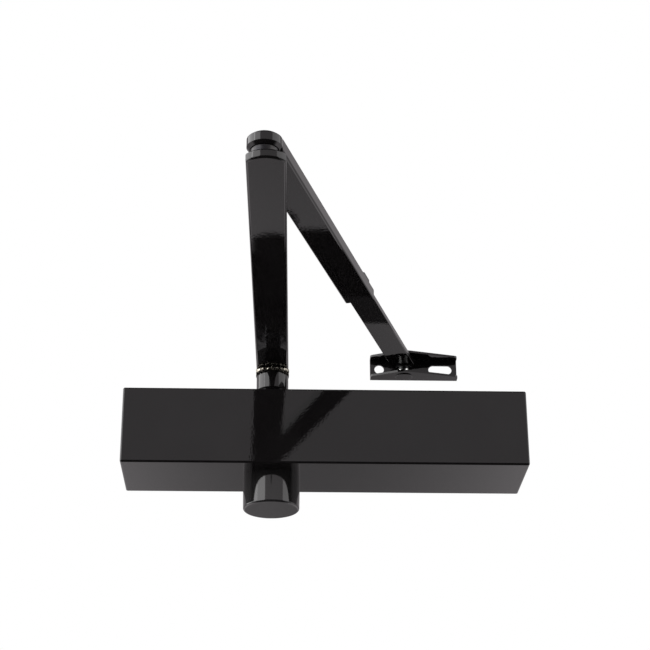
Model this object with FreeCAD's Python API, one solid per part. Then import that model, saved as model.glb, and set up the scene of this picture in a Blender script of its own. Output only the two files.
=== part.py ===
import FreeCAD, Part
import math
import os

from FreeCAD import Vector

# Overhead door closer with a two-piece arm, in millimetres.
# Origin: centre of the door fixing holes, in the back plane that lies on the door.
# +X runs along the closer towards its spring end, +Y goes into the door, +Z is up.

# ---- cover -------------------------------------------------------------------
COVER_LENGTH = 248.0
COVER_DEPTH = 54.0
COVER_HEIGHT = 48.4
COVER_WALL = 1.2
COVER_EDGE = 1.2
COVER_SCREW_R = 2.0
COVER_SCREW_HEAD_R = 3.4
COVER_SCREW_LENGTH = 10.0
TOP_NOTCH_HALF = 11.2
BOTTOM_NOTCH_HALF = 16.4

# ---- housing -----------------------------------------------------------------
HOUSING_HALF = 104.0
HOUSING_DEPTH = 46.0
HOUSING_HEIGHT = 42.0
HOUSING_EDGE = 4.0
BORE_R = 15.5
FOOT_THICK = 8.0
FOOT_HEIGHT = 36.0
FIXING_X = 112.0
FIXING_Z = 9.5
FIXING_R = 3.1

# ---- spindle and its bearings -------------------------------------------------
SPINDLE_X = -32.5
SPINDLE_Y = -24.8
JOURNAL_R = 7.0
JOURNAL_HALF = 23.4
SQUARE = 10.0
SQUARE_CORNER_R = 6.6
SPINDLE_TOP = 45.8
SPINDLE_BOTTOM = -40.5
SCREW_HOLE_R = 3.4
TEETH = 12
MODULE = 1.5
PITCH_R = TEETH * MODULE / 2
DEDENDUM = 1.25 * MODULE
PRESSURE = math.radians(20.0)
BACKLASH = 0.06
RACK_ADDENDUM = 1.0
PINION_HALF = 9.5
RING_R = 12.0
RING_FLANGE_R = 14.0
RING_BOTTOM = 15.7
RING_TOP = 22.6
BEARING_R = 10.2
NEEDLES = 18

# ---- piston and springs --------------------------------------------------------
PISTON_R = BORE_R - 0.06
PISTON_LEFT = -85.3
PISTON_RIGHT = -7.0
STROKE = math.radians(170.0) * PITCH_R
NUT_LEFT = 68.0
NUT_THICK = 8.0
OUTER_WIRE_R = 2.1
INNER_WIRE_R = 1.2
OUTER_SPRING_R = 12.6
INNER_SPRING_R = 6.9

# ---- end plugs and adjusters ---------------------------------------------------
LEFT_PLUG_FACE = -86.0
RIGHT_PLUG_FACE = 84.0
SEAL_R = 0.8
ADJUSTER_R = 4.0
ADJUSTER_SHANK_R = 5.0
VALVE_Y = -40.0
VALVE_Z = 15.0
VALVE_R = 2.5
VALVE_DEPTH = 24.0
VALVE_SEAL_X = -94.0
VALVE_SEAL_GROOVE_R = 1.6
GALLERY_R = 1.25
PORT_R = 1.0
PORT_LENGTH = 8.0
PORT_BEHIND_SEAT = 1.3
FRONT_PORT_X = -5.5

# ---- cap ------------------------------------------------------------------------
CAP_TOP_R = 17.6
CAP_BOTTOM_R = 17.3
CAP_LENGTH = 20.3
CAP_WALL = 2.0
CAP_EDGE = 1.2

# ---- main arm -------------------------------------------------------------------
ARM_UNDERSIDE = 47.0
ARM_THICK = 5.3
ARM_WIDTH = 20.2
ARM_EDGE = 1.3
ARM_TIP_R = 12.5
ARM_TIP_REACH = 9.0
PIN_OFFSET = 0.8
HUB_R = 10.05
HUB_BOTTOM = 33.0
HUB_CHAMFER = 0.8
SOCKET_TOP = SPINDLE_TOP + 0.1
WELD_LEG = 3.0
WELD_OVERHANG = 0.3
ARM_SCREW_R = 3.35
ELBOW_X = -38.2
ELBOW_Y = -287.2

# ---- forearm --------------------------------------------------------------------
SLEEVE_BOTTOM = ARM_UNDERSIDE + 8.8
SLEEVE_WIDTH = 17.6
SLEEVE_HEIGHT = 6.6
SLEEVE_FLOOR = 3.0
SLEEVE_WALL = 1.2
SLEEVE_EDGE = 1.2
SLEEVE_END = 183.0
KNUCKLE_R = 9.05
KNUCKLE_CHAMFER = 1.6
PIN_R = 4.0
BAR_WIDTH = 14.9
BAR_THICK = 3.4
BAR_START = 110.0
BAR_END_R = 5.8
BAR_END_SLOPE = math.radians(50.0)
BAR_NECK = 2.0
CLAMP_AT = SLEEVE_END - 14.0
CLAMP_HALF = 6.0
CLAMP_THICK = 2.4

# ---- frame bracket ----------------------------------------------------------------
PIVOT_X = 52.6
PIVOT_Y = -7.6
BRACKET_LEFT = 31.1
BRACKET_LENGTH = 56.5
BRACKET_BACK = 0.0
BRACKET_BOTTOM = 52.5
BRACKET_HEIGHT = 15.0
BRACKET_WALL = 1.4
FLANGE_END_DEPTH = 7.4
FLANGE_DEPTH = 15.8
FLANGE_APEX = 6.0
BRACKET_HOLE_R = 3.1
BRACKET_HOLE_IN = 6.0
SLOT_LENGTH = 15.2
SLOT_IN = 10.7
RIVET_R = 2.5
PIVOT_SLEEVE_R = 3.35
PIVOT_WASHER = 0.8
RIVET_HEAD_R = 5.5
RIVET_HEAD = 0.6

X, Y, Z = Vector(1, 0, 0), Vector(0, 1, 0), Vector(0, 0, 1)
TOP = COVER_HEIGHT / 2
ARM_TOP = ARM_UNDERSIDE + ARM_THICK
ELBOW = Vector(ELBOW_X, ELBOW_Y, 0)
PIVOT = Vector(PIVOT_X, PIVOT_Y, 0)
SPINDLE = Vector(SPINDLE_X, SPINDLE_Y, 0)
REACH = (PIVOT - ELBOW).Length
FOREARM_ANGLE = math.degrees(math.atan2(PIVOT_Y - ELBOW_Y, PIVOT_X - ELBOW_X))
ARM_LENGTH = (ELBOW - SPINDLE).Length
ARM_ANGLE = math.degrees(math.atan2(ELBOW_Y - SPINDLE_Y, ELBOW_X + PIN_OFFSET - SPINDLE_X))
KNUCKLE_TOP = SLEEVE_BOTTOM + SLEEVE_HEIGHT
BAR_BOTTOM = SLEEVE_BOTTOM + SLEEVE_FLOOR + 0.1
BRACKET_TOP = BRACKET_BOTTOM + BRACKET_HEIGHT
BRACKET_HOLE_X = BRACKET_LEFT + BRACKET_HOLE_IN
SLOT_X = BRACKET_LEFT + BRACKET_LENGTH - SLOT_IN
PINION_CLEAR = PITCH_R + MODULE + 0.7
SLOT_LEFT = SPINDLE_X - STROKE - PINION_CLEAR


# ---- helpers ------------------------------------------------------------------------
def box(x0, x1, y0, y1, z0, z1):
    return Part.makeBox(x1 - x0, y1 - y0, z1 - z0, Vector(x0, y0, z0))


def rod_x(r, x0, x1, y=SPINDLE_Y, z=0.0):
    return Part.makeCylinder(r, x1 - x0, Vector(x0, y, z), X)


def post(r, z0, z1, at=SPINDLE):
    return Part.makeCylinder(r, z1 - z0, Vector(at.x, at.y, z0), Z)


def ring(outer, inner, z0, z1, at=SPINDLE):
    return post(outer, z0, z1, at).cut(post(inner, z0 - 1, z1 + 1, at))


def ring_x(outer, inner, x0, x1, y=SPINDLE_Y, z=0.0):
    return rod_x(outer, x0, x1, y, z).cut(rod_x(inner, x0 - 1, x1 + 1, y, z))


def torus_x(major, minor, x, y=SPINDLE_Y, z=0.0):
    return Part.makeTorus(major, minor, Vector(x, y, z), X)


def hexagon(across_flats, height, base, axis=Z):
    """A hexagonal prism on a point, along an axis."""
    r = across_flats / math.sqrt(3)
    corners = [Vector(r * math.cos(math.radians(a)), r * math.sin(math.radians(a)), 0)
               for a in range(0, 360, 60)]
    prism = Part.Face(Part.makePolygon(corners + corners[:1])).extrude(Z * height)
    prism.Placement = FreeCAD.Placement(base, FreeCAD.Rotation(Z, axis))
    return prism


def edges_along(shape, direction):
    """The straight edges of a shape that run along a direction."""
    found = []
    for edge in shape.Edges:
        if isinstance(edge.Curve, Part.Line) and abs(edge.Curve.Direction.dot(direction)) > 0.999:
            found.append(edge)
    return found


def edges_at_height(shape, z):
    """The edges of a shape that lie in a level plane."""
    return [e for e in shape.Edges
            if abs(e.BoundBox.ZMin - z) < 1e-4 and abs(e.BoundBox.ZMax - z) < 1e-4]


def lay(shape, at, angle):
    """Turn a shape drawn along +X about the origin and put it at a point."""
    shape.Placement = FreeCAD.Placement(Vector(at.x, at.y, 0), FreeCAD.Rotation(Z, angle))
    return shape


def on_forearm(shape):
    return lay(shape, ELBOW, FOREARM_ANGLE)


def mirrored_down(shape):
    """The same piece on the other side of the middle plane Z = 0."""
    return shape.mirror(Vector(0, 0, 0), Z)


def mirrored_across(shape):
    """The same piece at the other end of the closer."""
    return shape.mirror(Vector(0, 0, 0), X)


def save(name, *solids):
    shape = solids[0] if len(solids) == 1 else Part.makeCompound(list(solids))
    shape.exportStep("parts/" + name + ".step")


# ---- cover ----------------------------------------------------------------------------
def notch(half_width, z0, z1):
    """A U-shaped cut from the back edge to the spindle, so that the cover slides on."""
    slot = box(SPINDLE_X - half_width, SPINDLE_X + half_width, SPINDLE_Y, 1, z0, z1)
    return slot.fuse(post(half_width, z0, z1))


def cover():
    half = COVER_LENGTH / 2
    shell = box(-half, half, -COVER_DEPTH, 0, -TOP, TOP)
    outer = [e for e in shell.Edges if e.BoundBox.YMax < -0.1 or e.BoundBox.YLength > 1]
    shell = shell.makeFillet(COVER_EDGE, outer)
    inside = half - COVER_WALL
    roof = TOP - COVER_WALL
    shell = shell.cut(box(-inside, inside, COVER_WALL - COVER_DEPTH, 1, -roof, roof))
    shell = shell.cut(notch(TOP_NOTCH_HALF, TOP - 3, TOP + 1))
    shell = shell.cut(notch(BOTTOM_NOTCH_HALF, -TOP - 1, 3 - TOP))
    sink = screw_head()
    return shell.cut([sink, mirrored_across(sink)])


def screw_head():
    """The flat countersunk head of a cover screw, flush with the right end wall."""
    inner = Vector(COVER_LENGTH / 2 - COVER_WALL, -FOOT_THICK / 2, 0)
    return Part.makeCone(COVER_SCREW_R, COVER_SCREW_HEAD_R, COVER_WALL, inner, X)


def cover_screw():
    """A countersunk screw through an end wall of the cover into the housing's foot."""
    half = COVER_LENGTH / 2
    shank = rod_x(COVER_SCREW_R, half - COVER_SCREW_LENGTH, half - COVER_WALL, -FOOT_THICK / 2)
    slot = box(half - 0.6, half + 1, -FOOT_THICK, 0, -0.4, 0.4)
    return shank.fuse(screw_head()).cut(slot)


# ---- housing -----------------------------------------------------------------------------
def foot():
    """The right-hand foot plate, with two fixing holes and the cover screw's hole."""
    x0, x1 = HOUSING_HALF - 1, COVER_LENGTH / 2 - COVER_WALL - 0.2
    plate = box(x0, x1, -FOOT_THICK, 0, -FOOT_HEIGHT / 2, FOOT_HEIGHT / 2)
    for z in (-FIXING_Z, FIXING_Z):
        front = Vector(FIXING_X, -FOOT_THICK - 1, z)
        plate = plate.cut(Part.makeCylinder(FIXING_R, FOOT_THICK + 2, front, Y))
    screw_start = COVER_LENGTH / 2 - COVER_SCREW_LENGTH
    return plate.cut(rod_x(COVER_SCREW_R, screw_start, x1 + 1, -FOOT_THICK / 2))


def valve_gallery(side):
    """A stepped hole for a valve in a front corner, with two ports into the cylinder."""
    z = side * VALVE_Z
    hole = rod_x(VALVE_R + 0.05, -HOUSING_HALF - 1, -HOUSING_HALF + VALVE_DEPTH, VALVE_Y, z)
    hole = hole.fuse(rod_x(GALLERY_R, -HOUSING_HALF, FRONT_PORT_X + 1.5, VALVE_Y, z))
    inward = Vector(0, SPINDLE_Y - VALVE_Y, -z)
    for x in (VALVE_DEPTH - HOUSING_HALF - PORT_BEHIND_SEAT, FRONT_PORT_X):
        hole = hole.fuse(Part.makeCylinder(PORT_R, PORT_LENGTH, Vector(x, VALVE_Y, z), inward))
    return hole


def housing():
    half_height = HOUSING_HEIGHT / 2
    block = box(-HOUSING_HALF, HOUSING_HALF, -HOUSING_DEPTH, 0, -half_height, half_height)
    front = [e for e in edges_along(block, X) if e.BoundBox.YMax < -1]
    block = block.makeFillet(HOUSING_EDGE, front)
    block = block.fuse([foot(), mirrored_across(foot())])
    block = block.cut(rod_x(BORE_R, -HOUSING_HALF - 1, HOUSING_HALF + 1))
    block = block.cut(post(RING_R, -half_height - 1, half_height + 1))
    block = block.cut(valve_gallery(1)).cut(valve_gallery(-1))
    return block.removeSplitter()


# ---- spindle and bearings -----------------------------------------------------------------
def bearing_ring():
    body = post(RING_R, RING_BOTTOM, HOUSING_HEIGHT / 2)
    body = body.fuse(post(RING_FLANGE_R, HOUSING_HEIGHT / 2, RING_TOP))
    return body.cut(post(BEARING_R, RING_BOTTOM - 1, RING_TOP + 1))


def bearing_shell():
    outer = ring(BEARING_R, BEARING_R - 0.9, RING_BOTTOM, RING_BOTTOM + 4.4)
    lips = [ring(BEARING_R, JOURNAL_R + 0.6, z, z + 0.5) for z in (RING_BOTTOM, RING_BOTTOM + 3.9)]
    return outer.fuse(lips)


def needles(sign):
    rollers = []
    radius = (JOURNAL_R + BEARING_R - 0.9) / 2 + 0.05
    for i in range(NEEDLES):
        a = 2 * math.pi * i / NEEDLES
        at = SPINDLE + Vector(radius * math.cos(a), radius * math.sin(a), 0)
        z = RING_BOTTOM + 0.6
        roller = post(1.0, z, z + 3.2, at)
        rollers.append(roller if sign > 0 else mirrored_down(roller))
    return rollers


def lip_seal():
    return ring(BEARING_R, JOURNAL_R + 0.08, RING_BOTTOM + 4.6, RING_TOP)


def involute_point(r, side):
    """A point of a tooth's flank, at a radius; the tooth is centred on +X."""
    base = PITCH_R * math.cos(PRESSURE)
    roll = math.acos(min(1.0, base / r))
    half = math.pi / (2 * TEETH) + math.tan(PRESSURE) - PRESSURE - math.tan(roll) + roll
    half -= BACKLASH / PITCH_R
    return Vector(r * math.cos(half), side * r * math.sin(half), 0)


def tooth():
    base, tip, root = PITCH_R * math.cos(PRESSURE), PITCH_R + MODULE, PITCH_R - DEDENDUM
    flanks = []
    for side in (-1, 1):
        curve = Part.BSplineCurve()
        curve.interpolate([involute_point(base + (tip - base) * k / 4, side) for k in range(5)])
        flanks.append(curve.toShape())
    low, high = involute_point(base, -1), involute_point(base, 1)
    foot_low = Vector(root - 0.4, low.y, 0)
    foot_high = Vector(root - 0.4, high.y, 0)
    crest = Part.Arc(involute_point(tip, -1), Vector(tip, 0, 0), involute_point(tip, 1)).toShape()
    sides = [Part.makeLine(foot_low, low), flanks[0], crest, flanks[1],
             Part.makeLine(high, foot_high), Part.makeLine(foot_high, foot_low)]
    outline = Part.Wire(Part.__sortEdges__(sides))
    return Part.Face(outline).extrude(Z * (2 * PINION_HALF))


def pinion_spindle():
    core = post(PITCH_R - DEDENDUM, -PINION_HALF, PINION_HALF)
    teeth = []
    for i in range(TEETH):
        one = tooth()
        # a tooth space faces the rack, which lies on the -Y side
        turn = -90 + 360.0 * (i + 0.5) / TEETH
        one.Placement = FreeCAD.Placement(SPINDLE - Z * PINION_HALF, FreeCAD.Rotation(Z, turn))
        teeth.append(one)
    half = SQUARE / 2
    square = box(SPINDLE_X - half, SPINDLE_X + half, SPINDLE_Y - half, SPINDLE_Y + half,
                 SPINDLE_BOTTOM, SPINDLE_TOP)
    square = square.common(post(SQUARE_CORNER_R, SPINDLE_BOTTOM, SPINDLE_TOP))
    journal = post(JOURNAL_R, -JOURNAL_HALF, JOURNAL_HALF)
    spindle = core.fuse(teeth).fuse([square, journal])
    spindle = spindle.cut(post(SCREW_HOLE_R, JOURNAL_HALF + 0.6, SPINDLE_TOP + 1))
    spindle = spindle.cut(post(SCREW_HOLE_R, SPINDLE_BOTTOM - 1, -JOURNAL_HALF - 2.6))
    return spindle.removeSplitter()


# ---- piston --------------------------------------------------------------------------------
def rack_cutter():
    """The spaces of the rack, as one prism for each, in mesh with the pinion at rest."""
    pitch = math.pi * MODULE
    slope = math.tan(PRESSURE)
    pitch_line = SPINDLE_Y - PITCH_R
    deep, high = DEDENDUM + 0.1, RACK_ADDENDUM + 1.0
    half = pitch / 4 + BACKLASH
    spaces = []
    for i in range(-7, 2):
        x = SPINDLE_X + (i + 0.5) * pitch
        corners = [Vector(x - half + deep * slope, pitch_line - deep, 0),
                   Vector(x + half - deep * slope, pitch_line - deep, 0),
                   Vector(x + half + high * slope, pitch_line + high, 0),
                   Vector(x - half - high * slope, pitch_line + high, 0)]
        space = Part.Face(Part.makePolygon(corners + corners[:1])).extrude(Z * 2 * PISTON_R)
        space.translate(Z * -PISTON_R)
        spaces.append(space)
    return spaces


def piston():
    body = rod_x(PISTON_R, PISTON_LEFT, PISTON_RIGHT)
    left, right = SLOT_LEFT, SPINDLE_X + PINION_CLEAR
    slot = box(left, right, SPINDLE_Y - PITCH_R + RACK_ADDENDUM, SPINDLE_Y + PINION_CLEAR, -16, 16)
    body = body.cut(slot)
    for space in rack_cutter():
        body = body.cut(space.common(box(left, right, -60, 0, -16, 16)))
    body = body.cut(ring_x(PISTON_R + 1, PISTON_R - 1.7, PISTON_LEFT + 4, PISTON_LEFT + 6))
    passage = rod_x(1.5, PISTON_LEFT - 1, left + 1)
    ball_seat = rod_x(3.0, left - 8.0, left + 1)
    return body.cut(passage).cut(ball_seat)


def spring(mean_r, wire_r, turns):
    """A helix of round wire between the piston and the spring nut."""
    gap = 0.35
    length = NUT_LEFT - PISTON_RIGHT - 2 * (wire_r + gap)
    helix = Part.makeHelix(length / turns, length, mean_r)
    start = Part.Wire(Part.makeCircle(wire_r, Vector(mean_r, 0, 0), Y))
    coil = Part.Wire(helix).makePipeShell([start], True, True)
    coil.Placement = FreeCAD.Placement(Vector(PISTON_RIGHT + wire_r + gap, SPINDLE_Y, 0),
                                       FreeCAD.Rotation(Z, X))
    return coil


# ---- end plugs and spring adjuster -------------------------------------------------------------
def plug(x0, x1, seal_x):
    body = rod_x(BORE_R, x0, x1)
    return body.cut(ring_x(BORE_R + 1, BORE_R - 1.65, seal_x - 0.9, seal_x + 0.9))


def left_plug():
    body = plug(-HOUSING_HALF, LEFT_PLUG_FACE, LEFT_PLUG_FACE - 4)
    return body.cut(hexagon(14.0, 9.0, Vector(-HOUSING_HALF - 1, SPINDLE_Y, 0), X))


def right_plug():
    body = plug(RIGHT_PLUG_FACE, HOUSING_HALF, RIGHT_PLUG_FACE + 4)
    body = body.cut(rod_x(ADJUSTER_SHANK_R + 0.06, RIGHT_PLUG_FACE - 1, HOUSING_HALF + 1))
    body = body.cut(rod_x(9.0, HOUSING_HALF - 5, HOUSING_HALF + 1))
    seal_x = RIGHT_PLUG_FACE + 9
    body = body.cut(rod_x(6.6, seal_x - 0.9, seal_x + 0.9))
    for z in (-12.2, 12.2):
        body = body.cut(rod_x(1.5, HOUSING_HALF - 5, HOUSING_HALF + 1, SPINDLE_Y, z))
    return body


def adjuster_screw():
    shank_end = HOUSING_HALF - 1
    screw = rod_x(ADJUSTER_R, 50, RIGHT_PLUG_FACE - 2)
    screw = screw.fuse(rod_x(7.0, RIGHT_PLUG_FACE - 2.6, RIGHT_PLUG_FACE - 0.05))
    screw = screw.fuse(rod_x(ADJUSTER_SHANK_R, RIGHT_PLUG_FACE - 1, shank_end))
    screw = screw.cut(hexagon(5.0, 9.0, Vector(shank_end - 7, SPINDLE_Y, 0), X))
    groove = ring_x(ADJUSTER_SHANK_R + 1, ADJUSTER_SHANK_R - 0.5, HOUSING_HALF - 4.9, HOUSING_HALF - 3.7)
    return screw.cut(groove)


def adjuster_clip():
    """A snap ring in the screw's groove, open on one side."""
    clip = ring_x(6.9, ADJUSTER_SHANK_R - 0.45, HOUSING_HALF - 4.85, HOUSING_HALF - 3.75)
    return clip.cut(box(0, HOUSING_HALF, SPINDLE_Y - 1.5, SPINDLE_Y + 1.5, 0, 12))


def spring_nut():
    nut = rod_x(PISTON_R, NUT_LEFT, NUT_LEFT + NUT_THICK)
    return nut.cut(rod_x(ADJUSTER_R + 0.06, NUT_LEFT - 1, NUT_LEFT + NUT_THICK + 1))


# ---- check valve and speed valves ------------------------------------------------------------
def check_ball():
    return Part.makeSphere(2.4, Vector(SLOT_LEFT - 6.05, SPINDLE_Y, 0))


def check_retainer():
    return ring_x(3.0, 1.4, SLOT_LEFT - 2.4, SLOT_LEFT - 1.2)


def valve_screw(side):
    """A needle screw with a driver slot, whose point closes the gallery behind it."""
    z = side * VALVE_Z
    seat = VALVE_DEPTH - HOUSING_HALF
    screw = rod_x(VALVE_R, 0.4 - HOUSING_HALF, seat - 2.0, VALVE_Y, z)
    screw = screw.fuse(Part.makeCone(VALVE_R - 0.3, 1.15, 2.2, Vector(seat - 2.0, VALVE_Y, z), X))
    screw = screw.cut(box(-HOUSING_HALF - 1, 1.6 - HOUSING_HALF, VALVE_Y - 4, VALVE_Y + 4, z - 0.4, z + 0.4))
    x = VALVE_SEAL_X
    return screw.cut(ring_x(VALVE_R + 1, VALVE_SEAL_GROOVE_R, x - 0.55, x + 0.55, VALVE_Y, z))


def valve_seal(side):
    return torus_x(2.08, 0.42, VALVE_SEAL_X, VALVE_Y, side * VALVE_Z)


# ---- cap over the lower end of the spindle -----------------------------------------------------
def spindle_cap():
    """A thick cup with a spigot that pushes up round the lower bearing ring."""
    top, bottom = -TOP, -TOP - CAP_LENGTH
    cup = Part.makeCone(CAP_BOTTOM_R, CAP_TOP_R, CAP_LENGTH, Vector(SPINDLE_X, SPINDLE_Y, bottom), Z)
    cup = cup.makeFillet(CAP_EDGE, edges_at_height(cup, bottom))
    cup = cup.fuse(post(16.0, top, -HOUSING_HEIGHT / 2 - 0.3))
    return cup.cut(post(RING_FLANGE_R + 0.05, bottom + CAP_WALL, -HOUSING_HEIGHT / 2))


# ---- main arm --------------------------------------------------------------------------------------
def arm_plan(length, width, end_r, end_reach):
    """A flat bar's outline along +X from its pivot, with a round start and a flatter tip."""
    half = width / 2
    centre = length + end_reach - end_r
    corner = centre + math.sqrt(end_r ** 2 - half ** 2)
    sides = [Part.LineSegment(Vector(0, -half, 0), Vector(corner, -half, 0)),
             Part.Arc(Vector(corner, -half, 0), Vector(length + end_reach, 0, 0), Vector(corner, half, 0)),
             Part.LineSegment(Vector(corner, half, 0), Vector(0, half, 0)),
             Part.Arc(Vector(0, half, 0), Vector(-half, 0, 0), Vector(0, -half, 0))]
    return Part.Face(Part.Wire([side.toShape() for side in sides]))


def main_arm():
    bar = arm_plan(ARM_LENGTH, ARM_WIDTH, ARM_TIP_R, ARM_TIP_REACH).extrude(Z * ARM_THICK)
    rims = edges_at_height(bar, 0) + edges_at_height(bar, ARM_THICK)
    bar = bar.makeFillet(ARM_EDGE, rims)
    bar.Placement = FreeCAD.Placement(SPINDLE + Z * ARM_UNDERSIDE, FreeCAD.Rotation(Z, ARM_ANGLE))
    bar = bar.cut(post(PIN_R + 0.3, ARM_UNDERSIDE - 1, ARM_TOP + 1))
    return bar.cut(post(PIN_R, ARM_UNDERSIDE + 1.5, ARM_TOP + 1, ELBOW))


def arm_hub():
    """The round boss under the arm, with a square socket for the spindle."""
    hub = post(HUB_R, HUB_BOTTOM, ARM_UNDERSIDE)
    hub = hub.makeChamfer(HUB_CHAMFER, edges_at_height(hub, HUB_BOTTOM))
    half = SQUARE / 2 + 0.02
    socket = box(SPINDLE_X - half, SPINDLE_X + half, SPINDLE_Y - half, SPINDLE_Y + half,
                 HUB_BOTTOM - 1, SOCKET_TOP)
    hub = hub.cut(socket.common(post(SQUARE_CORNER_R + 0.05, HUB_BOTTOM - 1, SOCKET_TOP)))
    return hub.cut(post(PIN_R + 0.3, SPINDLE_TOP, ARM_UNDERSIDE + 1))


def hub_weld():
    """A fillet weld round the boss, no wider than the arm it joins."""
    bottom = ARM_UNDERSIDE - WELD_LEG
    base = Vector(SPINDLE_X, SPINDLE_Y, bottom)
    cone = Part.makeCone(HUB_R, HUB_R + WELD_LEG, WELD_LEG, base, Z)
    cone = cone.cut(post(HUB_R, bottom - 1, ARM_UNDERSIDE + 1))
    half = ARM_WIDTH / 2 + WELD_OVERHANG
    front = box(SPINDLE_X - half, SPINDLE_X + half, SPINDLE_Y - 20, SPINDLE_Y, bottom, ARM_UNDERSIDE)
    return cone.common(post(half, bottom, ARM_UNDERSIDE).fuse(front))


def arm_screw():
    head = hexagon(13.0, 5.3, Vector(SPINDLE_X, SPINDLE_Y, ARM_TOP + 1.6))
    thread = post(ARM_SCREW_R, SPINDLE_TOP - 15, SPINDLE_TOP + 1)
    return head.fuse([thread, post(PIN_R, SPINDLE_TOP + 0.05, ARM_TOP + 2)])


def arm_washer():
    return ring(8.0, PIN_R + 0.2, ARM_TOP, ARM_TOP + 1.6)


# ---- elbow -----------------------------------------------------------------------------------------------
def elbow_stud():
    stud = post(PIN_R, ARM_UNDERSIDE + 1.5, KNUCKLE_TOP + 2.2, ELBOW)
    stud = stud.fuse(post(7.0, ARM_TOP, SLEEVE_BOTTOM - 0.25, ELBOW))
    groove = ring(PIN_R + 1, PIN_R - 0.5, KNUCKLE_TOP + 0.85, KNUCKLE_TOP + 1.65, ELBOW)
    return stud.cut(groove)


def elbow_washer():
    return ring(7.5, PIN_R + 0.05, KNUCKLE_TOP + 0.1, KNUCKLE_TOP + 0.8, ELBOW)


def elbow_clip():
    clip = ring(6.2, PIN_R - 0.45, KNUCKLE_TOP + 0.9, KNUCKLE_TOP + 1.6, ELBOW)
    return clip.cut(box(ELBOW_X - 1.6, ELBOW_X + 1.6, ELBOW_Y, ELBOW_Y + 9, ARM_TOP, KNUCKLE_TOP + 3))


def forearm_knuckle():
    """The round end of the sleeve, bevelled below, that turns on the elbow stud."""
    body = post(KNUCKLE_R, SLEEVE_BOTTOM, KNUCKLE_TOP, ELBOW)
    body = body.makeFillet(0.8, edges_at_height(body, KNUCKLE_TOP))
    body = body.makeChamfer(KNUCKLE_CHAMFER, edges_at_height(body, SLEEVE_BOTTOM))
    return body.cut(post(PIN_R + 0.05, ARM_TOP, KNUCKLE_TOP + 1, ELBOW))


# ---- forearm sleeve, bar and clamp --------------------------------------------------------------------
def forearm_sleeve():
    """A channel that is open on top, in which the bar slides flush with its rims."""
    half = SLEEVE_WIDTH / 2
    channel = box(0, SLEEVE_END, -half, half, SLEEVE_BOTTOM, KNUCKLE_TOP)
    low = [e for e in edges_along(channel, X) if e.BoundBox.ZMax < KNUCKLE_TOP - 1]
    channel = channel.makeFillet(SLEEVE_EDGE, low)
    inside = half - SLEEVE_WALL
    floor = SLEEVE_BOTTOM + SLEEVE_FLOOR
    channel = channel.cut(box(-1, SLEEVE_END + 1, -inside, inside, floor, KNUCKLE_TOP + 1))
    channel = channel.cut(Part.makeCylinder(KNUCKLE_R, 20, Vector(0, 0, ARM_TOP), Z))
    return on_forearm(channel)


def bar_plan():
    """The sliding bar's outline, narrowed to a round eye at the bracket's pivot."""
    half, r = BAR_WIDTH / 2, BAR_END_R
    neck = REACH - BAR_NECK
    touch = Vector(REACH + r * math.cos(BAR_END_SLOPE), r * math.sin(BAR_END_SLOPE), 0)
    right = Vector(touch.x, -touch.y, 0)
    sides = [Part.LineSegment(Vector(BAR_START, -half, 0), Vector(neck, -half, 0)),
             Part.LineSegment(Vector(neck, -half, 0), right),
             Part.Arc(right, Vector(REACH + r, 0, 0), touch),
             Part.LineSegment(touch, Vector(neck, half, 0)),
             Part.LineSegment(Vector(neck, half, 0), Vector(BAR_START, half, 0)),
             Part.LineSegment(Vector(BAR_START, half, 0), Vector(BAR_START, -half, 0))]
    return Part.Face(Part.Wire([side.toShape() for side in sides]))


def forearm_bar():
    bar = bar_plan().extrude(Z * BAR_THICK)
    bar = bar.makeFillet(0.45, edges_at_height(bar, 0) + edges_at_height(bar, BAR_THICK))
    bar = on_forearm(bar)
    bar.translate(Z * BAR_BOTTOM)
    return bar.cut(post(RIVET_R + 0.05, BAR_BOTTOM - 1, BAR_BOTTOM + BAR_THICK + 1, PIVOT))


def clamp_block():
    """The bridge across the channel's rims that carries the clamp screw."""
    half = SLEEVE_WIDTH / 2 - 0.5
    top = KNUCKLE_TOP + CLAMP_THICK
    block = box(CLAMP_AT - CLAMP_HALF, CLAMP_AT + CLAMP_HALF, -half, half, KNUCKLE_TOP, top)
    block = block.makeFillet(0.8, edges_along(block, Z))
    return on_forearm(block.cut(Part.makeCylinder(2.5, 5, Vector(CLAMP_AT, 0, KNUCKLE_TOP - 1), Z)))


def clamp_screw():
    tip = BAR_BOTTOM + BAR_THICK + 0.06
    top = KNUCKLE_TOP + CLAMP_THICK
    screw = Part.makeCylinder(2.5, top + 1 - tip, Vector(CLAMP_AT, 0, tip), Z)
    return on_forearm(screw.fuse(hexagon(8.0, 3.4, Vector(CLAMP_AT, 0, top))))


# ---- frame bracket ---------------------------------------------------------------------------------------
def flange_plan():
    """A flange's outline: deepest at the pivot, shallower towards both ends."""
    x0, x1 = BRACKET_LEFT, BRACKET_LEFT + BRACKET_LENGTH
    ends, apex = BRACKET_BACK - FLANGE_END_DEPTH, BRACKET_BACK - FLANGE_DEPTH
    flat = FLANGE_APEX / 2
    points = [Vector(x0, BRACKET_BACK, 0), Vector(x0, ends, 0), Vector(PIVOT_X - flat, apex, 0),
              Vector(PIVOT_X + flat, apex, 0), Vector(x1, ends, 0), Vector(x1, BRACKET_BACK, 0)]
    return Part.Face(Part.makePolygon(points + points[:1]))


def edges_at_depth(block, depth):
    """The bracket's upright edges at a depth in front of its back plane."""
    return [e for e in edges_along(block, Z)
            if abs(e.BoundBox.YMin - BRACKET_BACK + depth) < 0.01]


def plate_hole(x):
    """A round hole's cutter through the bracket's back plate."""
    middle = BRACKET_BOTTOM + BRACKET_HEIGHT / 2
    return Part.makeCylinder(BRACKET_HOLE_R, 10, Vector(x, BRACKET_BACK - 8, middle), Y)


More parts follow.
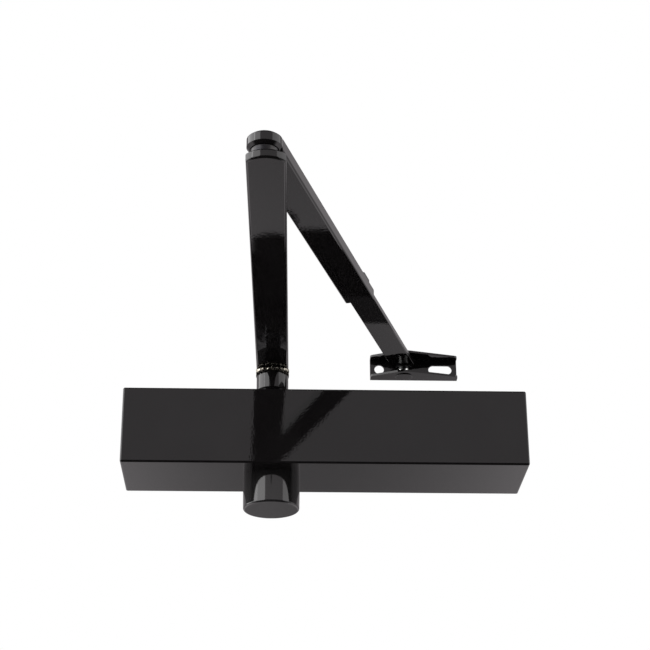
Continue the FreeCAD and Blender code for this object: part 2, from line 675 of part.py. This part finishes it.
def plate_slot(x, length):
    """A round-ended slot's cutter, centred on x."""
    travel = length / 2 - BRACKET_HOLE_R
    middle = BRACKET_BOTTOM + BRACKET_HEIGHT / 2
    straight = box(x - travel, x + travel, BRACKET_BACK - 8, BRACKET_BACK + 2,
                   middle - BRACKET_HOLE_R, middle + BRACKET_HOLE_R)
    return straight.fuse([plate_hole(x - travel), plate_hole(x + travel)]).removeSplitter()


def frame_bracket():
    """A pressed channel with its back plate on the door frame and two pointed flanges."""
    block = flange_plan().extrude(Z * BRACKET_HEIGHT)
    block.translate(Z * BRACKET_BOTTOM)
    block = block.makeFillet(8.0, edges_at_depth(block, FLANGE_DEPTH))
    block = block.makeFillet(2.0, edges_at_depth(block, FLANGE_END_DEPTH))
    back = [e for e in edges_along(block, X) if abs(e.BoundBox.YMin - BRACKET_BACK) < 0.01]
    block = block.makeFillet(1.2, back)
    inner = box(BRACKET_LEFT - 1, BRACKET_LEFT + BRACKET_LENGTH + 1, BRACKET_BACK - 30,
                BRACKET_BACK - BRACKET_WALL, BRACKET_BOTTOM + BRACKET_WALL,
                BRACKET_BOTTOM + BRACKET_HEIGHT - BRACKET_WALL)
    block = block.cut(inner)
    block = block.cut(plate_hole(BRACKET_HOLE_X))
    block = block.cut(plate_slot(SLOT_X, SLOT_LENGTH))
    return block.cut(post(RIVET_R, BRACKET_BOTTOM - 1, BRACKET_TOP + 1, PIVOT))


def pivot_rivet():
    rivet = post(RIVET_R, BRACKET_BOTTOM, BRACKET_TOP, PIVOT)
    low = post(RIVET_HEAD_R, BRACKET_BOTTOM - RIVET_HEAD, BRACKET_BOTTOM, PIVOT)
    low = low.makeFillet(0.4, edges_at_height(low, BRACKET_BOTTOM - RIVET_HEAD))
    high = post(RIVET_HEAD_R - 0.6, BRACKET_TOP, BRACKET_TOP + RIVET_HEAD, PIVOT)
    return rivet.fuse([low, high])


def pivot_washer():
    """The washer under the bar's eye."""
    top = BAR_BOTTOM - 0.1
    return ring(RIVET_HEAD_R, RIVET_R + 0.05, top - PIVOT_WASHER, top, PIVOT)


def lower_spacer():
    """The sleeve on the rivet that the washer rests on."""
    top = BAR_BOTTOM - 0.1 - PIVOT_WASHER
    return ring(PIVOT_SLEEVE_R, RIVET_R + 0.05, BRACKET_BOTTOM + BRACKET_WALL, top, PIVOT)


def upper_spacer():
    bar_top = BAR_BOTTOM + BAR_THICK
    return ring(PIVOT_SLEEVE_R, RIVET_R + 0.05, bar_top + 0.1, BRACKET_TOP - BRACKET_WALL, PIVOT)


def build():
    os.makedirs("parts", exist_ok=True)
    save("cover", cover())
    save("cover_screws", cover_screw(), mirrored_across(cover_screw()))
    save("housing", housing())
    save("upper_bearing_ring", bearing_ring())
    save("lower_bearing_ring", mirrored_down(bearing_ring()))
    save("upper_bearing_shell", bearing_shell())
    save("lower_bearing_shell", mirrored_down(bearing_shell()))
    save("bearing_needles", *(needles(1) + needles(-1)))
    save("upper_spindle_seal", lip_seal())
    save("lower_spindle_seal", mirrored_down(lip_seal()))
    save("pinion_spindle", pinion_spindle())
    save("piston", piston())
    save("piston_seal", torus_x(PISTON_R - 0.9, SEAL_R, PISTON_LEFT + 5))
    save("outer_spring", spring(OUTER_SPRING_R, OUTER_WIRE_R, 7))
    save("inner_spring", spring(INNER_SPRING_R, INNER_WIRE_R, 11))
    save("spring_nut", spring_nut())
    save("adjuster_screw", adjuster_screw())
    save("adjuster_clip", adjuster_clip())
    save("adjuster_seal", torus_x(5.85, 0.7, RIGHT_PLUG_FACE + 9))
    save("left_end_plug", left_plug())
    save("right_end_plug", right_plug())
    save("end_plug_seals", torus_x(BORE_R - 0.85, SEAL_R, LEFT_PLUG_FACE - 4),
         torus_x(BORE_R - 0.85, SEAL_R, RIGHT_PLUG_FACE + 4))
    save("check_valve_ball", check_ball())
    save("check_valve_retainer", check_retainer())
    save("closing_valve", valve_screw(1))
    save("closing_valve_seal", valve_seal(1))
    save("latching_valve", valve_screw(-1))
    save("latching_valve_seal", valve_seal(-1))
    save("spindle_cap", spindle_cap())
    save("arm_hub", arm_hub())
    save("hub_weld", hub_weld())
    save("main_arm", main_arm())
    save("arm_screw", arm_screw())
    save("arm_washer", arm_washer())
    save("elbow_stud", elbow_stud())
    save("elbow_washer", elbow_washer())
    save("elbow_clip", elbow_clip())
    save("forearm_knuckle", forearm_knuckle())
    save("forearm_sleeve", forearm_sleeve())
    save("clamp_block", clamp_block())
    save("clamp_screw", clamp_screw())
    save("forearm_bar", forearm_bar())
    save("frame_bracket", frame_bracket())
    save("pivot_rivet", pivot_rivet())
    save("pivot_washer", pivot_washer())
    save("lower_pivot_spacer", lower_spacer())
    save("upper_pivot_spacer", upper_spacer())


build()
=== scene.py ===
import math

import bmesh
import bpy
from mathutils import Matrix, Vector, noise


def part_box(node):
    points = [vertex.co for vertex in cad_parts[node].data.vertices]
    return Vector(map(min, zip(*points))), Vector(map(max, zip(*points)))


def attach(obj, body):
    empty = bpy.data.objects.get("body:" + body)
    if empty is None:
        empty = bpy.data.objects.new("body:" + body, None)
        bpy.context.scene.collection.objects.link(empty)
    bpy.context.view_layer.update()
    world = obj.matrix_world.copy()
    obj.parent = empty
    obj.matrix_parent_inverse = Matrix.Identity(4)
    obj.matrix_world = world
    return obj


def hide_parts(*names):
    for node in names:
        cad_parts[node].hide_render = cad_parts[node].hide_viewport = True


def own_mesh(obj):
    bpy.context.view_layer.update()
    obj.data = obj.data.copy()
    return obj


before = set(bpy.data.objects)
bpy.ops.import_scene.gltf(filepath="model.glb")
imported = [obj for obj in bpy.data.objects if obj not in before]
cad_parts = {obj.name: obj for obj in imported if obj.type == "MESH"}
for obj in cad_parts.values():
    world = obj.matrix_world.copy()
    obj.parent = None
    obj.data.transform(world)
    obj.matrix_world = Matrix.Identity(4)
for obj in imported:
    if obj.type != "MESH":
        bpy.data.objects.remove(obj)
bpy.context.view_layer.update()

# Looks of an overhead door closer with a two-piece arm, in metres, in the CAD frame:
# +X along the closer to its spring end, +Y into the door, +Z up.

MM = 0.001

# ---- camera: place in metres, angles in degrees, lens and sensor in millimetres --------------
CAMERA_PLACE = Vector((-0.03477, -1.01571, -0.37114))
CAMERA_YAW = 2.066
CAMERA_PITCH = 24.5
CAMERA_ROLL = -0.218
CAMERA_LENS = 93.61
CAMERA_SENSOR = 36.0
CAMERA_REACH = 60.0

# ---- springs ---------------------------------------------------------------------------------
OUTER_WIRE_R = 2.1 * MM
INNER_WIRE_R = 1.2 * MM
OUTER_TURNS = 7.0
INNER_TURNS = 11.0
CLOSED_TURNS = 0.9
CLOSED_PITCH = 2.05
GROUND_END = 0.55
WIRE_POINTS = 14
STEPS_PER_TURN = 56

# ---- weld bead: sizes as shares of the weld's leg, unless in millimetres -----------------------
BEAD_LUMPS = 19
BEAD_STEPS = 340
BEAD_RING = 22
BEAD_ROUGH = 0.45 * MM
BEAD_SINK = 0.25 * MM
BEAD_LEAST = 0.70
BEAD_LUMP = 0.22
BEAD_WANDER = 0.14
BEAD_DROP = 1.08
BEAD_UNEVEN = 0.3

# ---- studio ------------------------------------------------------------------------------------
FLOOR_DROP = 1.6
FLOOR_HALF = 7.0
LIGHT_DISTANCE = 1.8
AREA_LIGHT_GAIN = 4.0
TENT_TINT = (1.0, 0.95, 0.975, 1.0)
TENT_LEAST = 0.02
FRONT_TENT = 0.63
BACK_TENT = 0.24
BACK_STEEP = 0.17
BACK_SIDES = 22.0
BACK_MIDDLE = 0.03
BACK_LIMIT = 0.48
BACK_LIMIT_BELOW = 0.60

# ---- sockets of the colour mix node ------------------------------------------------------------
MIX_FACTOR, MIX_FIRST, MIX_SECOND, MIX_RESULT = 0, 6, 7, 2


# ---- node helpers ------------------------------------------------------------------------------
def is_socket(value):
    return isinstance(value, bpy.types.NodeSocket)


def feed(tree, socket, value):
    """Links another node's socket, or sets a plain value."""
    if is_socket(value):
        tree.links.new(value, socket)
    else:
        socket.default_value = value


def arithmetic(tree, operation, *values):
    made = tree.nodes.new("ShaderNodeMath")
    made.operation = operation
    for index, value in enumerate(values):
        feed(tree, made.inputs[index], value)
    return made.outputs[0]


def remap(tree, interpolation, *values):
    """Maps a value from one range to another: value, from low, from high, to low, to high."""
    made = tree.nodes.new("ShaderNodeMapRange")
    made.interpolation_type = interpolation
    for index, value in enumerate(values):
        feed(tree, made.inputs[index], value)
    return made.outputs[0]


# ---- materials -----------------------------------------------------------------------------------
class Look:
    """A principled material with node chains in the piece's own coordinates."""

    def __init__(self, name):
        self.material = bpy.data.materials.new(name)
        self.material.use_nodes = True
        self.tree = self.material.node_tree
        self.shader = self.tree.nodes["Principled BSDF"]
        self.coords = self.tree.nodes.new("ShaderNodeTexCoord").outputs["Object"]
        self.last_normal = None

    def node(self, kind, **inputs):
        made = self.tree.nodes.new(kind)
        for key, value in inputs.items():
            feed(self.tree, made.inputs[key], value)
        return made

    def fixed(self, **values):
        for key, value in values.items():
            self.shader.inputs[key].default_value = value

    def noise(self, per_metre, detail=2.0, roughness=0.5, stretch=(1.0, 1.0, 1.0)):
        place = self.node("ShaderNodeMapping", Vector=self.coords, Scale=stretch)
        return self.node("ShaderNodeTexNoise", Vector=place.outputs[0], Scale=per_metre,
                         Detail=detail, Roughness=roughness).outputs["Fac"]

    def cells(self, per_metre):
        return self.node("ShaderNodeTexVoronoi", Vector=self.coords, Scale=per_metre).outputs["Distance"]

    def sum(self, first, second):
        return arithmetic(self.tree, "ADD", first, second)

    def spread(self, source, low, high, to_low=0.0, to_high=1.0):
        return remap(self.tree, "LINEAR", source, low, high, to_low, to_high)

    def blend(self, factor, first, second):
        made = self.tree.nodes.new("ShaderNodeMix")
        made.data_type = "RGBA"
        feed(self.tree, made.inputs[MIX_FACTOR], factor)
        for index, tone in ((MIX_FIRST, first), (MIX_SECOND, second)):
            feed(self.tree, made.inputs[index], tone if is_socket(tone) else (*tone, 1.0))
        return made.outputs[MIX_RESULT]

    def colour(self, source):
        self.tree.links.new(source, self.shader.inputs["Base Color"])

    def roughness(self, source):
        self.tree.links.new(source, self.shader.inputs["Roughness"])

    def bump(self, height, depth):
        """Adds relief of a depth in metres on top of what is there already."""
        made = self.node("ShaderNodeBump", Height=height, Distance=depth, Strength=1.0)
        if self.last_normal is not None:
            self.tree.links.new(self.last_normal, made.inputs["Normal"])
        self.last_normal = made.outputs["Normal"]
        self.tree.links.new(self.last_normal, self.shader.inputs["Normal"])

    def turning(self, centre, axis, per_metre):
        """A fine groove pattern: rings on the faces and lines round the sides of a turned part."""
        place = self.node("ShaderNodeMapping", Vector=self.coords, Location=tuple(-c for c in centre))
        parts = self.node("ShaderNodeSeparateXYZ", Vector=place.outputs[0]).outputs
        across = [parts[k] for k in range(3) if k != axis]
        squares = [arithmetic(self.tree, "MULTIPLY", side, side) for side in across]
        radius = arithmetic(self.tree, "POWER", self.sum(*squares), 0.5)
        line = self.node("ShaderNodeCombineXYZ", X=self.sum(parts[axis], radius)).outputs[0]
        return self.node("ShaderNodeTexNoise", Vector=line, Scale=per_metre, Detail=3.0).outputs["Fac"]


def powder_coat():
    """Glossy black powder coat with the fine orange peel of a baked finish."""
    look = Look("powder_coat_black")
    look.fixed(IOR=1.5)
    cloud = look.spread(look.noise(45.0, 3.0), 0.3, 0.7)
    speck = look.spread(look.noise(2600.0, 1.0), 0.66, 0.74)
    base = look.blend(cloud, (0.0060, 0.0054, 0.0057), (0.0078, 0.0071, 0.0074))
    look.colour(look.blend(speck, base, (0.010, 0.0092, 0.0096)))
    look.roughness(look.spread(look.noise(500.0, 3.0), 0.3, 0.7, 0.022, 0.045))
    look.bump(look.noise(310.0, 1.0), 8e-6)
    look.bump(look.noise(760.0, 1.0), 14e-6)
    return look.material


def gloss_cap():
    """The smoother gloss of the moulded cap."""
    look = Look("gloss_black_cap")
    look.fixed(IOR=1.6)
    cloud = look.spread(look.noise(70.0, 3.0), 0.3, 0.7)
    look.colour(look.blend(cloud, (0.0130, 0.0126, 0.0128), (0.0170, 0.0165, 0.0168)))
    look.roughness(look.spread(look.noise(700.0, 4.0), 0.3, 0.7, 0.05, 0.10))
    look.bump(look.noise(260.0, 1.0), 3e-6)
    look.bump(look.noise(1500.0, 2.0), 1e-6)
    return look.material


def black_zinc():
    """Satin black passivated steel for screws, washers, clips and the elbow stud."""
    look = Look("zinc_black")
    look.fixed(Metallic=1.0)
    cloud = look.spread(look.noise(220.0, 4.0), 0.3, 0.7)
    look.colour(look.blend(cloud, (0.030, 0.030, 0.034), (0.060, 0.058, 0.056)))
    look.roughness(look.spread(look.noise(900.0, 4.0), 0.3, 0.7, 0.26, 0.44))
    look.bump(look.noise(1400.0, 3.0), 4e-6)
    return look.material


def weld_skin():
    """A weld bead that the powder only half covers: steel lumps in a thin black skin."""
    look = Look("weld_half_coated")
    look.fixed(Metallic=1.0)
    patch = look.spread(look.noise(900.0, 4.0, 0.6), 0.42, 0.56)
    look.colour(look.blend(patch, (0.05, 0.046, 0.041), (0.64, 0.60, 0.51)))
    look.roughness(look.spread(look.noise(1100.0, 3.0), 0.3, 0.7, 0.16, 0.34))
    look.bump(look.noise(1500.0, 3.0), 40e-6)
    return look.material


def bright_zinc():
    """Clear zinc plate, slightly clouded and with drawn lines."""
    look = Look("zinc_bright")
    look.fixed(Metallic=1.0)
    cloud = look.spread(look.noise(350.0, 4.0), 0.3, 0.7)
    look.colour(look.blend(cloud, (0.72, 0.73, 0.72), (0.86, 0.87, 0.84)))
    look.roughness(look.spread(look.noise(1200.0, 4.0), 0.3, 0.7, 0.12, 0.26))
    look.bump(look.noise(500.0, 3.0, stretch=(1.0, 1.0, 6.0)), 6e-6)
    return look.material


def cast_aluminium():
    """Die-cast aluminium with a grainy skin, flow marks and small pits."""
    look = Look("aluminium_cast")
    look.fixed(Metallic=1.0)
    cloud = look.spread(look.noise(60.0, 5.0, stretch=(0.5, 1.0, 1.0)), 0.3, 0.7)
    look.colour(look.blend(cloud, (0.40, 0.41, 0.42), (0.58, 0.585, 0.59)))
    look.roughness(look.spread(look.noise(400.0, 4.0), 0.3, 0.7, 0.40, 0.62))
    look.bump(look.spread(look.cells(420.0), 0.0, 0.35), 18e-6)
    look.bump(look.noise(1500.0, 4.0), 14e-6)
    return look.material


def turned(name, centre, axis, dark, light, rough_low, rough_high):
    """Machined steel with tool lines about one axis."""
    look = Look(name)
    look.fixed(Metallic=1.0)
    lines = look.turning(centre, axis, 5200.0)
    stain = look.spread(look.noise(110.0, 4.0), 0.3, 0.7)
    mixed = look.spread(look.sum(lines, stain), 0.6, 1.4)
    look.colour(look.blend(mixed, dark, light))
    look.roughness(look.spread(lines, 0.3, 0.7, rough_low, rough_high))
    look.bump(lines, 5e-6)
    return look.material


def spring_steel():
    """Oil-tempered spring wire: dark blue-brown scale over drawn steel."""
    look = Look("steel_spring_wire")
    look.fixed(Metallic=1.0)
    scale = look.spread(look.noise(260.0, 5.0, 0.6), 0.32, 0.68)
    look.colour(look.blend(scale, (0.055, 0.052, 0.056), (0.16, 0.145, 0.13)))
    look.roughness(look.spread(look.noise(700.0, 3.0), 0.3, 0.7, 0.30, 0.50))
    look.bump(look.noise(1800.0, 4.0), 6e-6)
    return look.material


def seal_rubber():
    """Matt nitrile rubber with a moulding texture."""
    look = Look("rubber_seal")
    cloud = look.spread(look.noise(500.0, 4.0), 0.3, 0.7)
    look.colour(look.blend(cloud, (0.010, 0.010, 0.011), (0.022, 0.021, 0.021)))
    look.roughness(look.spread(look.noise(1500.0, 3.0), 0.3, 0.7, 0.50, 0.75))
    look.bump(look.noise(2400.0, 3.0), 6e-6)
    return look.material


# ---- which CAD node wears what -----------------------------------------------------------------
def middle(node):
    low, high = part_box(node)
    return (low + high) / 2


POWDER = powder_coat()
CAP_BLACK = gloss_cap()
ZINC_BLACK = black_zinc()
ZINC_BRIGHT = bright_zinc()
WELD_SKIN = weld_skin()
ALUMINIUM = cast_aluminium()
WIRE = spring_steel()
RUBBER = seal_rubber()
ALONG_X, ALONG_Z = 0, 2
MILD = (0.40, 0.40, 0.41), (0.62, 0.62, 0.62)
HARD = (0.26, 0.26, 0.27), (0.46, 0.46, 0.47)
BORE_STEEL = turned("steel_turned_bore", middle("left_end_plug"), ALONG_X, *MILD, 0.22, 0.40)
RING_STEEL = turned("steel_turned_ring", middle("upper_bearing_ring"), ALONG_Z, *MILD, 0.20, 0.36)
UPPER_VALVE = turned("steel_valve_upper", middle("closing_valve"), ALONG_X, *MILD, 0.18, 0.34)
LOWER_VALVE = turned("steel_valve_lower", middle("latching_valve"), ALONG_X, *MILD, 0.18, 0.34)
PISTON_STEEL = turned("steel_hard_piston", middle("piston"), ALONG_X, *HARD, 0.16, 0.30)
SPINDLE_STEEL = turned("steel_hard_spindle", middle("pinion_spindle"), ALONG_Z, *HARD, 0.16, 0.30)

WORN_BY = (
    (POWDER, ("cover", "arm_hub", "main_arm", "forearm_knuckle", "forearm_sleeve", "forearm_bar",
              "frame_bracket", "pivot_rivet")),
    (CAP_BLACK, ("spindle_cap",)),
    (ZINC_BLACK, ("cover_screws", "arm_screw", "arm_washer", "elbow_washer", "elbow_clip",
                  "elbow_stud", "clamp_block", "clamp_screw", "adjuster_clip", "pivot_washer")),
    (ZINC_BRIGHT, ("lower_pivot_spacer", "upper_pivot_spacer")),
    (ALUMINIUM, ("housing",)),
    (BORE_STEEL, ("left_end_plug", "right_end_plug", "spring_nut", "adjuster_screw", "check_valve_retainer")),
    (RING_STEEL, ("upper_bearing_ring", "lower_bearing_ring")),
    (UPPER_VALVE, ("closing_valve",)),
    (LOWER_VALVE, ("latching_valve",)),
    (PISTON_STEEL, ("piston", "check_valve_ball")),
    (SPINDLE_STEEL, ("pinion_spindle", "upper_bearing_shell", "lower_bearing_shell", "bearing_needles")),
    (RUBBER, ("upper_spindle_seal", "lower_spindle_seal", "piston_seal", "adjuster_seal",
              "end_plug_seals", "closing_valve_seal", "latching_valve_seal")),
)

for worn, nodes in WORN_BY:
    for name in nodes:
        for material_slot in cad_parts[name].material_slots:
            material_slot.material = worn


# ---- new pieces ----------------------------------------------------------------------------------
def placed(name, bm):
    """An object of the finished mesh, linked into the scene."""
    data = bpy.data.meshes.new(name)
    bm.to_mesh(data)
    bm.free()
    piece = bpy.data.objects.new(name, data)
    bpy.context.scene.collection.objects.link(piece)
    return piece


def mesh_piece(name, bm, material, body):
    bmesh.ops.recalc_face_normals(bm, faces=bm.faces)
    for face in bm.faces:
        face.smooth = True
    piece = placed(name, bm)
    piece.data.materials.append(material)
    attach(piece, body)
    return piece


def join_rings(bm, first, second):
    """One band of faces between two rings of vertices."""
    count = len(first)
    for k in range(count):
        following = (k + 1) % count
        bm.faces.new((first[k], first[following], second[following], second[k]))


def closed_tube(bm, rings):
    """Joins rings of vertices into a skin and closes both ends."""
    for first, second in zip(rings, rings[1:]):
        join_rings(bm, first, second)
    bm.faces.new(rings[0])
    bm.faces.new(tuple(reversed(rings[-1])))


def coil_spring(name, node, wire_r, turns):
    """A compression spring with closed, ground ends, standing where the CAD spring stands."""
    low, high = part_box(node)
    axis_y, axis_z = (low.y + high.y) / 2, (low.z + high.z) / 2
    mean_r = (high.z - low.z) / 2 - wire_r
    start, end = low.x + wire_r * GROUND_END, high.x - wire_r * GROUND_END
    rest = (end - start) - 2 * CLOSED_TURNS * CLOSED_PITCH * wire_r
    open_pitch = rest / (turns - 2 * CLOSED_TURNS)
    steps = int(STEPS_PER_TURN * turns)
    bm = bmesh.new()
    rings = []
    for step in range(steps + 1):
        turn = turns * step / steps
        if turn < CLOSED_TURNS:
            x = start + turn * CLOSED_PITCH * wire_r
        elif turn > turns - CLOSED_TURNS:
            x = end - (turns - turn) * CLOSED_PITCH * wire_r
        else:
            x = start + CLOSED_TURNS * CLOSED_PITCH * wire_r + (turn - CLOSED_TURNS) * open_pitch
        angle = 2 * math.pi * turn
        outward = Vector((0.0, math.cos(angle), math.sin(angle)))
        centre = Vector((x, axis_y, axis_z)) + outward * mean_r
        ring = []
        for k in range(WIRE_POINTS):
            a = 2 * math.pi * k / WIRE_POINTS
            point = centre + outward * (wire_r * math.cos(a)) + Vector((wire_r * math.sin(a), 0.0, 0.0))
            point.x = min(max(point.x, low.x), high.x)
            ring.append(bm.verts.new(point))
        rings.append(ring)
    closed_tube(bm, rings)
    piece = mesh_piece(name, bm, WIRE, "body")
    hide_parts(node)
    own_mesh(piece)


def weld_bead():
    """A hand-laid fillet weld round the hub, under the arm, as a row of overlapping lumps."""
    low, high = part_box("hub_weld")
    hub_low, hub_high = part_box("arm_hub")
    centre = Vector(((hub_low.x + hub_high.x) / 2, (hub_low.y + hub_high.y) / 2, high.z))
    hub_r = (hub_high.x - hub_low.x) / 2
    leg = high.z - low.z
    rim = (high.x - low.x) / 2
    bm = bmesh.new()
    rings = []
    for step in range(BEAD_STEPS):
        angle = 2 * math.pi * step / BEAD_STEPS
        outward = Vector((math.cos(angle), math.sin(angle), 0.0))
        phase = (step * BEAD_LUMPS / BEAD_STEPS + BEAD_UNEVEN * noise.noise(outward * 3.1)) % 1.0
        lump = math.sqrt(max(0.0, 1 - (2 * phase - 1) ** 2))
        wander = noise.noise(outward * 5.3 + Vector((4.0, 1.0, 2.0)))
        size = leg * (BEAD_LEAST + BEAD_LUMP * lump + BEAD_WANDER * wander)
        ring = []
        for k in range(BEAD_RING):
            a = 2 * math.pi * k / BEAD_RING
            rough = BEAD_ROUGH * noise.noise(Vector((angle * 14.0, a * 2.1, 0.7)))
            reach = hub_r - BEAD_SINK + size * (0.5 + 0.5 * math.cos(a)) + rough
            drop = size * (0.5 + 0.5 * math.sin(a)) * BEAD_DROP + rough
            if outward.y > 0:
                reach = min(reach, rim)
            point = centre + outward * reach
            point.x = centre.x + max(-rim, min(rim, point.x - centre.x))
            point.z = max(low.z, centre.z - max(drop, 0.0))
            ring.append(bm.verts.new(point))
        rings.append(ring)
    for index, first in enumerate(rings):
        join_rings(bm, first, rings[(index + 1) % BEAD_STEPS])
    piece = mesh_piece("hub_weld_bead", bm, WELD_SKIN, "spindle")
    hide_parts("hub_weld")


coil_spring("outer_coil", "outer_spring", OUTER_WIRE_R, OUTER_TURNS)
coil_spring("inner_coil", "inner_spring", INNER_WIRE_R, INNER_TURNS)
weld_bead()


# ---- studio ----------------------------------------------------------------------------------------
def floor():
    """A wide pale floor far below the closer. It isn't seen in glossy reflections."""
    bm = bmesh.new()
    bmesh.ops.create_grid(bm, x_segments=1, y_segments=1, size=FLOOR_HALF)
    piece = placed("floor", bm)
    piece.location = (0.0, 0.0, -FLOOR_DROP)
    look = Look("pale_floor")
    cloud = look.spread(look.noise(0.8, 2.0), 0.3, 0.7)
    look.colour(look.blend(cloud, (0.80, 0.80, 0.79), (0.84, 0.84, 0.83)))
    look.roughness(look.spread(look.noise(3.0, 2.0), 0.3, 0.7, 0.85, 0.95))
    piece.data.materials.append(look.material)
    piece.visible_glossy = False


def softbox(name, azimuth, elevation, width, height, brightness):
    """An area light that faces the closer. Azimuth 0 is in front of it, 90 on its right."""
    data = bpy.data.lights.new(name, "AREA")
    data.shape = "RECTANGLE"
    data.size = width
    data.size_y = height
    data.energy = brightness * width * height * AREA_LIGHT_GAIN
    light = bpy.data.objects.new(name, data)
    bpy.context.scene.collection.objects.link(light)
    a, e = math.radians(azimuth), math.radians(elevation)
    outward = Vector((math.sin(a) * math.cos(e), -math.cos(a) * math.cos(e), math.sin(e)))
    light.location = outward * LIGHT_DISTANCE
    light.rotation_mode = "QUATERNION"
    light.rotation_quaternion = (-outward).to_track_quat("-Z", "Y")
    light.visible_camera = False


def tent_tone(tree):
    """Brightness by direction. In front it is one band above the horizon, dark over and under it.
    At the back it grows to both sides and steeply downwards, up to a limit, and fades at the poles."""
    def math_node(operation, *values):
        return arithmetic(tree, operation, *values)

    def step(source, low, high):
        return remap(tree, "SMOOTHSTEP", source, low, high)

    def opposite(share):
        return math_node("SUBTRACT", 1.0, share)

    parts = tree.nodes.new("ShaderNodeSeparateXYZ")
    direction = tree.nodes.new("ShaderNodeTexCoord").outputs["Generated"]
    tree.links.new(direction, parts.inputs[0])
    x, y, z = parts.outputs
    down = math_node("MULTIPLY", z, -1.0)

    band = math_node("MULTIPLY", step(z, 0.12, 0.26), opposite(step(z, 0.62, 0.78)))
    front_tone = math_node("MULTIPLY", band, FRONT_TENT)

    off_middle = math_node("SUBTRACT", x, BACK_MIDDLE)
    sideways = math_node("MULTIPLY", math_node("MULTIPLY", off_middle, off_middle), BACK_SIDES)
    steep = math_node("MULTIPLY", step(down, 0.36, 0.48), BACK_STEEP)
    limit = math_node("ADD", BACK_LIMIT, math_node("MULTIPLY", step(down, 0.15, 0.55), BACK_LIMIT_BELOW))
    back_tone = math_node("ADD", math_node("ADD", BACK_TENT, steep), sideways)
    back_tone = math_node("MINIMUM", back_tone, limit)
    back_tone = math_node("MULTIPLY", back_tone, opposite(step(math_node("ABSOLUTE", z), 0.72, 0.9)))

    front = step(math_node("MULTIPLY", y, -1.0), -0.15, 0.15)
    tone = math_node("ADD", math_node("MULTIPLY", front, front_tone),
                     math_node("MULTIPLY", opposite(front), back_tone))
    return math_node("ADD", tone, TENT_LEAST)


def surround():
    """White to the eye; a grey tent for the light and the reflections on the object."""
    world = bpy.data.worlds.new("studio")
    bpy.context.scene.world = world
    world.use_nodes = True
    tree = world.node_tree
    tree.nodes.clear()
    make, join = tree.nodes.new, tree.links.new
    tent = make("ShaderNodeBackground")
    join(tent_tone(tree), tent.inputs["Strength"])
    tent.inputs["Color"].default_value = TENT_TINT
    white = make("ShaderNodeBackground")
    white.inputs["Color"].default_value = (1.0, 1.0, 1.0, 1.0)
    choice = make("ShaderNodeMixShader")
    join(make("ShaderNodeLightPath").outputs["Is Camera Ray"], choice.inputs[0])
    join(tent.outputs[0], choice.inputs[1])
    join(white.outputs[0], choice.inputs[2])
    join(choice.outputs[0], make("ShaderNodeOutputWorld").inputs["Surface"])


floor()
surround()
softbox("left_key", azimuth=-88, elevation=22, width=1.9, height=2.4, brightness=2.2)
softbox("left_fill", azimuth=-43, elevation=22, width=1.05, height=2.0, brightness=1.6)
softbox("right_key", azimuth=76, elevation=22, width=2.0, height=2.4, brightness=0.8)


# ---- camera ----------------------------------------------------------------------------------------
def camera():
    data = bpy.data.cameras.new("camera")
    data.lens = CAMERA_LENS
    data.sensor_width = CAMERA_SENSOR
    data.clip_end = CAMERA_REACH
    eye = bpy.data.objects.new("camera", data)
    bpy.context.scene.collection.objects.link(eye)
    turn = (Matrix.Rotation(math.radians(CAMERA_ROLL), 3, "Y")
            @ Matrix.Rotation(math.radians(-CAMERA_PITCH), 3, "X")
            @ Matrix.Rotation(math.radians(CAMERA_YAW), 3, "Z"))
    upright = Matrix.Rotation(math.radians(90.0), 3, "X")
    eye.matrix_world = Matrix.Translation(CAMERA_PLACE) @ (turn.transposed() @ upright).to_4x4()
    bpy.context.scene.camera = eye


camera()
bpy.context.scene.view_settings.view_transform = "Standard"
